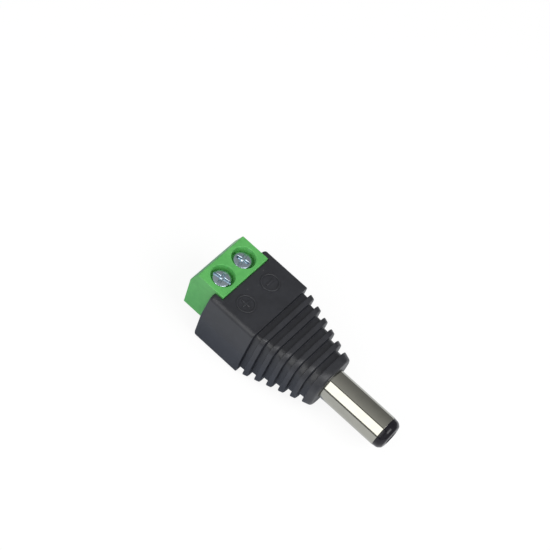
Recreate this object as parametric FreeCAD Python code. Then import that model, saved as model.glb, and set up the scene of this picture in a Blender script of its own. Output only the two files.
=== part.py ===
"""Barrel power plug with a two-way screw terminal block, as a moulded adapter.

Frame, in millimetres: the origin is the centre of the nose's flat end, where the barrel comes out.
+X runs along the barrel to its tip, +Z is the side with the clamp screws, and +Y is the negative pole.
"""
import FreeCAD, Part
import math
import os

V = FreeCAD.Vector
X_AXIS = V(1, 0, 0)
Y_AXIS = V(0, 1, 0)
Z_AXIS = V(0, 0, 1)

# Moulded housing: a drafted box at the back, then a nose that tapers to nearly round.
box_len = 9.15
side_wall = 1.55
floor_t = 3.53
box_corner = 0.85
draft_deg = 2.0
nose_len = 12.65
nose_side = 1.5
nose_top = 1.55
nose_corner = 3.2
front_chamfer = 0.25
rear_corner = 0.6
rear_side_corner = 0.4

# Grooves round the nose, which leave the ribs and, at the front, the collar.
groove_count = 6
groove_depth = 0.8
groove_mouth = 1.15
groove_floor = 0.55
collar_len = 1.5

# Barrel: a turned sleeve with a flange that locks it in the nose.
barrel_d = 5.5
barrel_wall = 0.3
barrel_len = 11.2
flange_back = 2.6
flange_len = 1.0
flange_lip = 0.85
shoulder_step = 0.2
shoulder_back = 0.15
spigot_len = 1.0

# Insulator in the barrel, with the black head that shows at the tip.
tip_len = 1.55
tip_step = 0.05
tip_round = 0.85
tip_round_steps = 3
tip_hole_d = 2.5
spring_gap = 0.2
liner_back = 1.5

# Centre contact: slotted socket, collar, shank and flat tail.
socket_d = 2.1
socket_wall = 0.38
socket_depth = 10.2
socket_recess = 0.2
saw_cut = 0.35
saw_cut_len = 8.0
collar_front = 0.3
shank_d = 2.0
tail_start = 6.6
tail_len = 2.8
tail_w = 1.9
tail_t = 0.7
eyelet_back = 1.6

# Insulating bush behind the flange and the solder tag riveted on the spigot.
bush_head_d = 5.8
bush_head_len = 0.8
tag_ring_w = 0.75
tag_t = 0.4
tag_leg_len = 5.2
tag_leg_w = 2.0
tag_leg_y = 1.5
tag_drop = 0.15

# Terminal block.
pole_pitch = 5.08
block_cheek = 1.01
block_slope = 0.9
block_slope_drop = 2.56
block_rake = 0.45
block_proud = 0.35
pocket_depth = 1.6
well_side = 0.42
head_sink = 0.65
ledge_t = 0.7
front_wall = 0.45
cage_recess = 0.32
entry_d = 2.4
entry_lift = 0.14
funnel_d = 3.4
funnel_deep = 0.6

# Clamp screws, with a combined cross and slot recess.
thread_d = 2.2
head_d = 3.16
head_edge = 0.55
head_h = 1.03
slot_w = 0.55
slot_deep = 0.5
cross_len = 2.3
screw_turn_deg = {"plus": 28.0, "minus": -16.0}

# Rising clamp cages and the contact bars that they press the wire against.
clamp_travel = 1.8
cage_web = 0.44
cage_collar = 1.15
cage_floor = 0.6
cage_cheek = 0.55
cage_corner = 0.3
bar_t = 0.5
bar_w = 2.3
bar_side = 0.2
bar_bend = 0.15
bar_rear_gap = 0.15
pin_w = 1.3
pin_cover = 1.33

# Link wires and solder.
link_d = 0.9
link_drop = 1.0
link_run = 1.8
tag_ramp = 2.7
solder_w = 0.17
solder_len = 1.0
solder_cap = 0.5

# Clearances.
fit_gap = 0.02
thread_gap = 0.06
slide_gap = 0.05
cage_gap = 0.1
leg_gap = 0.15
bed_gap = 0.03
pocket_gap = 0.05

# How far a cutting tool runs past the face that it opens.
past = 1.0

POLES = {"plus": -pole_pitch / 2, "minus": pole_pitch / 2}

# Sizes that follow, from the cage outwards.
thread_r = thread_d / 2
cage_len = thread_d + 2 * (thread_gap + cage_web)
cage_w = bar_w + 2 * (bar_side + cage_cheek)
chamber_w = cage_w + 2 * slide_gap
block_w = pole_pitch + chamber_w + 2 * block_cheek
block_top_len = 2 * (front_wall + bar_t + leg_gap) + cage_len
block_len = block_top_len + block_slope
well_d = head_d + 2 * well_side
window_h = clamp_travel + bar_t + 2 * fit_gap
cage_h = cage_floor + window_h + cage_collar
block_h = head_sink + head_h + fit_gap + ledge_t + cage_gap + clamp_travel + cage_h + cage_recess
box_w = block_w + 2 * side_wall
box_h = block_h - block_proud + floor_t
pin_len = floor_t - pin_cover
nose_w = barrel_d + 2 * nose_side
nose_h = barrel_d + 2 * nose_top

# Places along X that follow.
box_front = -nose_len
box_rear = box_front - box_len
notch_x = box_rear + pocket_depth
groove_pitch = (nose_len - collar_len - groove_mouth) / (groove_count - 1)
flange_front = -flange_back
flange_rear = flange_front - flange_len
spigot_rear = flange_rear - spigot_len
bush_rear = spigot_rear - bush_head_len
liner_rear = -liner_back
tail_front = -tail_start
tail_rear = tail_front - tail_len
eyelet_x = tail_front - eyelet_back
tip_x = barrel_len + tip_len
socket_mouth = barrel_len - socket_recess
block_front = notch_x
block_rear = block_front - block_len
screw_x = block_front - block_top_len / 2
chamber_front = block_front - front_wall
leg_rear = chamber_front - bar_t
chamber_rear = screw_x - cage_len / 2 - cage_gap

# Radii that follow.
barrel_r = barrel_d / 2
sleeve_bore_r = barrel_r - barrel_wall
flange_r = barrel_r + flange_lip
shoulder_r = barrel_r + shoulder_step
liner_r = sleeve_bore_r - fit_gap
socket_r = socket_d / 2
liner_bore_r = socket_r + socket_wall + spring_gap
shank_r = shank_d / 2
bush_head_r = bush_head_d / 2
tag_leg_top = -(bush_head_r + tag_drop)
link_r = link_d / 2

# Heights in the terminal block, from its top down.
block_top = box_h / 2 + block_proud
head_seat = block_top - head_sink - head_h
ledge_top = head_seat - fit_gap
ledge_bottom = ledge_top - ledge_t
cage_top = ledge_bottom - cage_gap - clamp_travel
window_top = cage_top - cage_collar
bar_top = window_top - fit_gap
bar_bottom = bar_top - bar_t
window_bottom = window_top - window_h
cage_bottom = cage_top - cage_h
block_bottom = block_top - block_h
entry_z = (bar_bottom + window_bottom) / 2 + entry_lift
link_z = block_bottom - link_drop
shank_end = bar_top + 2 * fit_gap


def box(x0, x1, y0, y1, z0, z1, grow=0.0):
    """Box between the given faces, made larger by grow on every side."""
    size = (x1 - x0 + 2 * grow, y1 - y0 + 2 * grow, z1 - z0 + 2 * grow)
    return Part.makeBox(*size, V(x0 - grow, y0 - grow, z0 - grow))


def extrude(points, direction, arcs=()):
    """Prism of a closed outline. A point whose index is in arcs is the middle of an arc."""
    edges = []
    i = 0
    while i < len(points):
        if (i + 1) in arcs:
            end = points[(i + 2) % len(points)]
            edges.append(Part.Arc(points[i], points[i + 1], end).toShape())
            i += 2
        else:
            edges.append(Part.LineSegment(points[i], points[(i + 1) % len(points)]).toShape())
            i += 1
    return Part.Face(Part.Wire(edges)).extrude(direction)


def turned(outline):
    """Solid turned about the X axis from (x, radius) corners."""
    corners = [V(x, 0, r) for x, r in outline]
    face = Part.Face(Part.makePolygon(corners + corners[:1]))
    return face.revolve(V(0, 0, 0), X_AXIS, 360)


def rod(r, start, axis, length, grow=0.0):
    """Round bar from start along axis, made larger by grow all round."""
    return Part.makeCylinder(r + grow, length + 2 * grow, start - axis * grow, axis)


def mould_section(x, inset):
    """Closed section of the moulding at x, drawn in by inset: ten edges, split at the parting line."""
    share = min(max((x + nose_len) / nose_len, 0.0), 1.0)
    w = (box_w + share * (nose_w - box_w)) / 2 - inset
    h = (box_h + share * (nose_h - box_h)) / 2 - inset
    r = box_corner + share * (nose_corner - box_corner) - inset / 2
    lean = math.radians(draft_deg) * (1 - share)
    side_y = w - (r + (h - r) * math.sin(lean)) / math.cos(lean)
    half = (math.pi / 2 + lean) / 2
    low = (side_y + r * math.cos(lean), h - r + r * math.sin(lean))
    mid = (side_y + r * math.cos(half), h - r + r * math.sin(half))
    top = (side_y, h)

    def at(point, y_sign, z_sign):
        return V(x, y_sign * point[0], z_sign * point[1])

    edges = []
    for y_sign, z_sign in ((1, 1), (-1, -1)):
        part_line = V(x, y_sign * w, 0)
        far_line = V(x, -y_sign * w, 0)
        edges += [
            Part.LineSegment(part_line, at(low, y_sign, z_sign)).toShape(),
            Part.Arc(at(low, y_sign, z_sign), at(mid, y_sign, z_sign), at(top, y_sign, z_sign)).toShape(),
            Part.LineSegment(at(top, y_sign, z_sign), at(top, -y_sign, z_sign)).toShape(),
            Part.Arc(at(top, -y_sign, z_sign), at(mid, -y_sign, z_sign), at(low, -y_sign, z_sign)).toShape(),
            Part.LineSegment(at(low, -y_sign, z_sign), far_line).toShape(),
        ]
    return Part.Wire(edges)


def mould_profile():
    """(x, inset) pairs from the box's back to the nose's end, through every groove."""
    profile = [(box_rear - box_len, 0.0)]
    for i in range(groove_count):
        middle = box_front + groove_mouth / 2 + i * groove_pitch
        profile += [
            (middle - groove_mouth / 2, 0.0),
            (middle - groove_floor / 2, groove_depth),
            (middle + groove_floor / 2, groove_depth),
            (middle + groove_mouth / 2, 0.0),
        ]
    return profile + [(-front_chamfer, 0.0), (0.0, front_chamfer)]


def moulding():
    """Outer form of the housing: one ruled loft, trimmed to the drafted back with its corners."""
    body = Part.makeLoft([mould_section(x, inset) for x, inset in mould_profile()], True, True)
    half_h = box_h / 2
    back_lean = (half_h - rear_corner) * math.tan(math.radians(draft_deg))
    corner_x = box_rear + back_lean
    chord = rear_corner * (1 - math.sqrt(0.5))
    outline = [V(box_rear, 0, 0)]
    arcs = []
    for z_sign in (1, -1):
        curve = [
            V(corner_x, 0, z_sign * (half_h - rear_corner)),
            V(corner_x + chord, 0, z_sign * (half_h - chord)),
            V(corner_x + rear_corner, 0, z_sign * half_h),
        ]
        forward = [V(past, 0, z_sign * half_h)]
        if z_sign > 0:
            arcs.append(len(outline) + 1)
            outline += curve + forward
        else:
            arcs.append(len(outline) + 2)
            outline += forward + curve[::-1]
    side_view = extrude(outline, Y_AXIS * 2 * box_w, arcs).translated(Y_AXIS * -box_w)
    half_w = box_w / 2
    chord = rear_side_corner * (1 - math.sqrt(0.5))
    outline = [
        V(box_rear, half_w - rear_side_corner, 0),
        V(box_rear + chord, half_w - chord, 0),
        V(box_rear + rear_side_corner, half_w, 0),
        V(past, half_w, 0),
        V(past, -half_w, 0),
        V(box_rear + rear_side_corner, -half_w, 0),
        V(box_rear + chord, -half_w + chord, 0),
        V(box_rear, -half_w + rear_side_corner, 0),
    ]
    top_view = extrude(outline, Z_AXIS * 2 * box_h, (1, 6)).translated(Z_AXIS * -box_h)
    return body.common(side_view).common(top_view)


def housing():
    """The moulding with the pocket for the block and a bed for each piece moulded into it."""
    half = block_w / 2 + pocket_gap
    pocket = box(2 * box_rear, notch_x + pocket_gap, -half, half, block_bottom, 2 * box_h)
    plug_bed = turned([
        (bush_rear - bed_gap, 0),
        (bush_rear - bed_gap, bush_head_r + bed_gap),
        (spigot_rear + bed_gap, bush_head_r + bed_gap),
        (spigot_rear + bed_gap, barrel_r + bed_gap),
        (flange_rear - bed_gap, barrel_r + bed_gap),
        (flange_rear - bed_gap, flange_r + bed_gap),
        (flange_front + bed_gap, flange_r + bed_gap),
        (flange_front + bed_gap, shoulder_r + bed_gap),
        (bed_gap - shoulder_back, shoulder_r + bed_gap),
        (bed_gap - shoulder_back, barrel_r + bed_gap),
        (past, barrel_r + bed_gap),
        (past, 0),
    ])
    beds = [pocket, plug_bed, contact_tail(bed_gap), tag_body(bed_gap)]
    for pole in POLES:
        beds += [contact_pin(pole, bed_gap), link_wire(pole, bed_gap)]
        beds += [pin_solder(pole, bed_gap), tag_solder(pole, bed_gap)]
    shape = moulding()
    for bed in beds:
        shape = shape.cut(bed)
    return shape


def barrel_sleeve():
    """Plated outer sleeve with a shoulder and a flange locked in the nose, and the tag's spigot."""
    return turned([
        (spigot_rear, sleeve_bore_r),
        (spigot_rear, barrel_r),
        (flange_rear, barrel_r),
        (flange_rear, flange_r),
        (flange_front, flange_r),
        (flange_front, shoulder_r),
        (-shoulder_back, shoulder_r),
        (-shoulder_back, barrel_r),
        (barrel_len, barrel_r),
        (barrel_len, sleeve_bore_r),
    ])


def tip_insulator():
    """Moulded liner of the barrel with the rounded head at the tip."""
    head_r = barrel_r - tip_step
    round_r = min(tip_round, 0.9 * tip_len)
    hole_r = tip_hole_d / 2
    angles = [math.pi / 2 * i / tip_round_steps for i in range(tip_round_steps + 1)]
    rounding = [(tip_x - round_r * (1 - math.sin(a)), head_r - round_r * (1 - math.cos(a))) for a in angles]
    return turned([
        (liner_rear, liner_bore_r),
        (liner_rear, liner_r),
        (barrel_len, liner_r),
        (barrel_len, head_r),
        *rounding,
        (tip_x, hole_r),
        (barrel_len, hole_r),
        (barrel_len, liner_bore_r),
    ])


def contact_tail(grow=0.0):
    """Shank behind the bush and the flat tail of the centre contact."""
    shank = rod(shank_r, V(tail_front, 0, 0), X_AXIS, bush_rear - tail_front, grow)
    tail = box(tail_rear, tail_front, -tail_w / 2, tail_w / 2, -tail_t / 2, tail_t / 2, grow)
    return shank.fuse(tail)


def centre_contact():
    """Turned socket with a saw-cut spring mouth, seated by its collar, with an eyelet in its tail."""
    seat_r = liner_bore_r - fit_gap
    socket_outer = socket_r + socket_wall
    body = turned([
        (bush_rear, 0),
        (bush_rear, shank_r),
        (liner_rear, shank_r),
        (liner_rear, seat_r),
        (collar_front, seat_r),
        (collar_front, socket_outer),
        (socket_mouth, socket_outer),
        (socket_mouth, socket_r),
        (socket_mouth - socket_depth, socket_r),
        (socket_mouth - socket_depth, 0),
    ])
    half = saw_cut / 2
    cut = box(socket_mouth - saw_cut_len, tip_x, -barrel_r, barrel_r, -half, half)
    eyelet = rod(link_r + bed_gap, V(eyelet_x, 0, -tail_t), Z_AXIS, 2 * tail_t)
    return body.cut(cut).fuse(contact_tail()).removeSplitter().cut(eyelet)


def rear_bush():
    """Insulating bush that keeps the centre contact's shank clear of the sleeve."""
    return turned([
        (bush_rear, shank_r + fit_gap),
        (bush_rear, bush_head_r),
        (spigot_rear, bush_head_r),
        (spigot_rear, liner_r),
        (liner_rear, liner_r),
        (liner_rear, shank_r + fit_gap),
    ])


def tag_body(grow=0.0):
    """Ring and leg of the sleeve's solder tag, with no hole."""
    ring_rear = flange_rear - tag_t
    ring = rod(barrel_r + tag_ring_w, V(ring_rear, 0, 0), X_AXIS, tag_t, grow)
    y0 = tag_leg_y - tag_leg_w / 2
    y1 = tag_leg_y + tag_leg_w / 2
    foot = tag_leg_top - tag_t
    lug = box(ring_rear, flange_rear, y0, y1, foot, -barrel_r / 2, grow)
    leg = box(ring_rear - tag_leg_len, flange_rear, y0, y1, foot, tag_leg_top, grow)
    return ring.fuse(lug).fuse(leg)


def sleeve_tag():
    """Stamped solder tag, its ring on the spigot against the flange."""
    hole = rod(barrel_r + fit_gap, V(spigot_rear, 0, 0), X_AXIS, spigot_len + flange_len)
    return tag_body().removeSplitter().cut(hole)


def terminal_body():
    """Green block: wells above, chambers open below, and a wire entry into each at the back."""
    outline = [
        V(block_front, 0, block_bottom),
        V(block_front, 0, block_top),
        V(block_front - block_top_len, 0, block_top),
        V(block_rear, 0, block_top - block_slope_drop),
        V(block_rear + block_rake, 0, block_bottom),
    ]
    body = extrude(outline, Y_AXIS * block_w).translated(Y_AXIS * -block_w / 2)
    for y in POLES.values():
        well = rod(well_d / 2, V(screw_x, y, ledge_top), Z_AXIS, block_top)
        hole = rod(thread_r + slide_gap, V(screw_x, y, ledge_bottom - past), Z_AXIS, block_top)
        half = chamber_w / 2
        chamber = box(chamber_rear, chamber_front, y - half, y + half, block_bottom - past, ledge_bottom)
        entry_len = chamber_rear - block_rear + 2 * past
        entry = rod(entry_d / 2, V(block_rear - past, y, entry_z), X_AXIS, entry_len)
        for hollow in (well, hole, chamber, entry, entry_funnel(y)):
            body = body.cut(hollow)
    return body


def entry_funnel(y):
    """Cone that leads a wire into its entry from the raked back face."""
    flare = (funnel_d - entry_d) / 2 / funnel_deep
    fall = (block_top - block_slope_drop - entry_z) / (block_top - block_slope_drop - block_bottom)
    face_x = block_rear + block_rake * fall
    mouth_r = funnel_d / 2 + flare * past
    start = V(face_x - past, y, entry_z)
    return Part.makeCone(mouth_r, entry_d / 2, funnel_deep + past, start, X_AXIS)


def clamp_screw(pole):
    """Domed screw head with a cross and slot recess, on a plain shank of the mean thread size."""
    y = POLES[pole]
    head_r = head_d / 2
    points = [
        V(0, 0, shank_end),
        V(thread_r, 0, shank_end),
        V(thread_r, 0, head_seat),
        V(head_r, 0, head_seat),
        V(head_r, 0, head_seat + head_edge),
    ]
    rise = head_h - head_edge
    dome_r = (head_r ** 2 + rise ** 2) / (2 * rise)
    mid_angle = math.asin(head_r / dome_r) / 2
    top = head_seat + head_h
    mid = V(dome_r * math.sin(mid_angle), 0, top - dome_r * (1 - math.cos(mid_angle)))
    edges = [Part.LineSegment(a, b).toShape() for a, b in zip(points, points[1:])]
    edges.append(Part.Arc(points[-1], mid, V(0, 0, top)).toShape())
    edges.append(Part.LineSegment(V(0, 0, top), points[0]).toShape())
    screw = Part.Face(Part.Wire(edges)).revolve(V(0, 0, 0), Z_AXIS, 360)
    half = slot_w / 2
    slot = box(-head_d, head_d, -half, half, top - slot_deep, top + past)
    cross = box(-half, half, -cross_len / 2, cross_len / 2, top - slot_deep, top + past)
    screw = screw.cut(slot).cut(cross)
    screw.rotate(V(0, 0, 0), Z_AXIS, screw_turn_deg[pole])
    return screw.translated(V(screw_x, y, 0))


def clamp_cage(pole):
    """Rising cage, open along X for the wire, with the threaded collar on top. It is down at rest."""
    y = POLES[pole]
    half_x = cage_len / 2
    half_y = cage_w / 2
    cage = box(screw_x - half_x, screw_x + half_x, y - half_y, y + half_y, cage_bottom, cage_top)
    upright = [e for e in cage.Edges if abs(e.tangentAt(e.FirstParameter).z) > 0.9]
    cage = cage.makeFillet(cage_corner, upright)
    window = box(chamber_rear - past, chamber_front, y - half_y + cage_cheek, y + half_y - cage_cheek,
                 window_bottom, window_top)
    thread = rod(thread_r + thread_gap, V(screw_x, y, window_top - past), Z_AXIS, cage_collar + 2 * past)
    return cage.cut(window).cut(thread)


def contact_pin(pole, grow=0.0):
    """Solder pin of a contact bar, below the block."""
    y = POLES[pole]
    half = pin_w / 2
    return box(leg_rear, chamber_front, y - half, y + half, block_bottom - pin_len, block_bottom, grow)


def contact_bar(pole):
    """Strip that lies in the cage's window, bends down the chamber's wall and ends in the pin."""
    y = POLES[pole]
    outer = bar_bend + bar_t
    tongue_rear = chamber_rear + bar_rear_gap
    bend = V(leg_rear - bar_bend, 0, bar_bottom - bar_bend)
    half_turn = math.sqrt(0.5)
    outline = [
        V(tongue_rear, 0, bar_bottom),
        V(tongue_rear, 0, bar_top),
        V(bend.x, 0, bar_top),
        V(bend.x + outer * half_turn, 0, bend.z + outer * half_turn),
        V(chamber_front, 0, bend.z),
        V(chamber_front, 0, bend.z - bar_t),
        V(leg_rear, 0, bend.z - bar_t),
        V(leg_rear, 0, bend.z),
        V(bend.x + bar_bend * half_turn, 0, bend.z + bar_bend * half_turn),
        V(bend.x, 0, bar_bottom),
    ]
    tongue = extrude(outline, Y_AXIS * bar_w, (3, 8)).translated(V(0, y - bar_w / 2, 0))
    half = chamber_w / 2
    leg = box(leg_rear, chamber_front, y - half, y + half, block_bottom, bend.z)
    return tongue.fuse(leg).fuse(contact_pin(pole)).removeSplitter()


def link_route(pole):
    """Corners of a link wire's route, from the solder on its pin to the plug's tail or tag."""
    y = POLES[pole]
    start = V(chamber_front + solder_len, y, link_z)
    if pole == "plus":
        corner = V(tail_rear - link_run, y, link_z)
        turn = V(eyelet_x, 0, link_z + 2 * link_d)
        return [start, corner, turn, V(eyelet_x, 0, tail_t / 2)]
    on_tag = tag_leg_top + link_r + fit_gap
    tag_rear = flange_rear - tag_t - tag_leg_len
    flat_start = tag_rear - link_d
    corner = V(flat_start - tag_ramp, y, link_z)
    return [start, corner, V(flat_start, tag_leg_y, on_tag), V(eyelet_x, tag_leg_y, on_tag)]


def link_wire(pole, grow=0.0):
    """Round link wire, bent sharply at each corner of its route."""
    route = link_route(pole)
    ring = Part.Wire(Part.makeCircle(link_r + grow, route[0], route[1] - route[0]))
    return Part.Wire(Part.makePolygon(route)).makePipeShell([ring], True, False, 1)


def pin_solder(pole, grow=0.0):
    """Lump of solder between a pin and its link wire."""
    start = V(chamber_front, POLES[pole], link_z)
    return rod(link_r + solder_w, start, X_AXIS, solder_len, grow)


def tag_solder(pole, grow=0.0):
    """Cap of solder on a link wire's far end, over the tail's eyelet or on the tag."""
    route = link_route(pole)
    cap = rod(link_r + solder_w, route[-1], (route[-1] - route[-2]).normalize(), solder_cap, grow)
    if pole == "plus":
        return cap
    return cap.cut(box(box_rear, 0, -box_w, box_w, -box_h, tag_leg_top))


def build():
    """Every piece by its node name."""
    pieces = {
        "housing": housing(),
        "terminal_body": terminal_body(),
        "barrel_sleeve": barrel_sleeve(),
        "tip_insulator": tip_insulator(),
        "centre_contact": centre_contact(),
        "rear_bush": rear_bush(),
        "sleeve_tag": sleeve_tag(),
    }
    for pole in POLES:
        pieces["clamp_screw_" + pole] = clamp_screw(pole)
        pieces["clamp_cage_" + pole] = clamp_cage(pole)
        pieces["contact_bar_" + pole] = contact_bar(pole)
        pieces["link_wire_" + pole] = link_wire(pole)
        pieces["pin_solder_" + pole] = pin_solder(pole)
        pieces["tag_solder_" + pole] = tag_solder(pole)
    return pieces


os.makedirs("parts", exist_ok=True)
for name, shape in build().items():
    shape.exportStep("parts/" + name + ".step")
    print(name, "solids", len(shape.Solids), "valid", shape.isValid(), "volume", round(shape.Volume, 3))
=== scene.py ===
"""Looks of the barrel power plug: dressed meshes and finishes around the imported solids.

Meshes are shaped in millimetres and written in metres. +X runs along the barrel to its tip, +Z is the
side with the clamp screws, and +Y is the negative pole.
"""

import logging
import math
from dataclasses import dataclass, field
from enum import Enum
from typing import Any, Callable, Iterable, Sequence

import bmesh
import bpy
from mathutils import Matrix, Vector


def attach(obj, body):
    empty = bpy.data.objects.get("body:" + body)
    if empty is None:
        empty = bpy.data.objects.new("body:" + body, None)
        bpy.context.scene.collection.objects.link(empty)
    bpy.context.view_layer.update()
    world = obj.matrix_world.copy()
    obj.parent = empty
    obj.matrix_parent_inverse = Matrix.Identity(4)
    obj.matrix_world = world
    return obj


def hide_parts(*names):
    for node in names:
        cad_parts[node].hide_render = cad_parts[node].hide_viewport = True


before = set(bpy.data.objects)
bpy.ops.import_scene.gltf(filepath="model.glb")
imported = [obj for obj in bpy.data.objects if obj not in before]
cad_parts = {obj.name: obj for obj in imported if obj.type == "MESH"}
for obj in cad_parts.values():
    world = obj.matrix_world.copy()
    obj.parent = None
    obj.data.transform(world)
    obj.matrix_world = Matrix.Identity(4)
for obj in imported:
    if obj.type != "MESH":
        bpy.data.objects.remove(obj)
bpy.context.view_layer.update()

LOG = logging.getLogger("plug")
MM = 0.001
X_AXIS, Y_AXIS, Z_AXIS = Vector((1, 0, 0)), Vector((0, 1, 0)), Vector((0, 0, 1))
# How far a cutter reaches past the face that it cuts, in millimetres
PAST = 1.0
# Distances below which points are one and edges are level, in millimetres
SAME_POINT, LEVEL = 1e-4, 1e-3
# Largest share of an edge that an arc at its end takes, and the angle from which edges stay sharp
ARC_SHARE, SHARP_DEG = 0.49, 34
Colour = tuple[float, float, float]
Corner = tuple[float, float, float]
Span = tuple[float, float]
Pick = Callable[[Vector, Vector], bool]
WHITE: Colour = (1.0, 1.0, 1.0)


class Body(Enum):
    """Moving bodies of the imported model."""

    PLUG = "plug_body"
    SCREW_PLUS = "screw_plus"
    SCREW_MINUS = "screw_minus"
    CAGE_PLUS = "cage_plus"
    CAGE_MINUS = "cage_minus"


class Pole(Enum):
    """The two poles, with the place of each along Y and the way that its screw is turned."""

    PLUS = ("plus", -2.54, 12.0, Body.SCREW_PLUS, Body.CAGE_PLUS)
    MINUS = ("minus", 2.54, 102.0, Body.SCREW_MINUS, Body.CAGE_MINUS)

    def __init__(self, label: str, y: float, turn_deg: float, screw: Body, cage: Body) -> None:
        """Keeps what differs between the poles."""
        self.label = label
        self.y = y
        self.turn_deg = turn_deg
        self.screw = screw
        self.cage = cage


def rounded(corners: Sequence[Corner], steps: int = 4, closed: bool = False) -> list[Vector]:
    """Outline through corners that are each rounded by an arc.

    Args:
        corners: (u, v, radius) of each corner; radius 0 keeps it sharp.
        steps: Straight parts in each arc.
        closed: Whether the last corner joins the first.

    Returns:
        Points of the outline, in order.
    """
    points: list[Vector] = []
    last = len(corners) - 1
    for i, (u, v, radius) in enumerate(corners):
        here = Vector((u, v))
        if radius == 0 or (not closed and i in (0, last)):
            points.append(here)
            continue
        back = Vector(corners[i - 1][:2]) - here
        onward = Vector(corners[(i + 1) % len(corners)][:2]) - here
        half_turn = (math.pi - back.angle(onward)) / 2
        reach = min(radius * math.tan(half_turn), ARC_SHARE * back.length, ARC_SHARE * onward.length)
        arc_r = reach / math.tan(half_turn)
        inward = (back.normalized() + onward.normalized()).normalized()
        centre = here + inward * (arc_r / math.cos(half_turn))
        first = here + back.normalized() * reach - centre
        final = here + onward.normalized() * reach - centre
        points += [centre + first.slerp(final, k / steps).normalized() * arc_r for k in range(steps + 1)]
    return points


def runs_along(axis: Vector) -> Pick:
    """Picks the edges that run along an axis, for a bevel."""
    return lambda middle, direction: abs(direction.dot(axis)) > 0.9


def put(name: str, data: Any, place: Matrix | None = None) -> bpy.types.Object:
    """Makes an object and links it into the scene.

    Args:
        name: Name of the object.
        data: Its mesh, lamp or camera.
        place: Where it stands, in metres; without it the object stays at the origin.

    Returns:
        The object.
    """
    obj = bpy.data.objects.new(name, data)
    if place is not None:
        obj.matrix_world = place
    bpy.context.scene.collection.objects.link(obj)
    return obj


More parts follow.
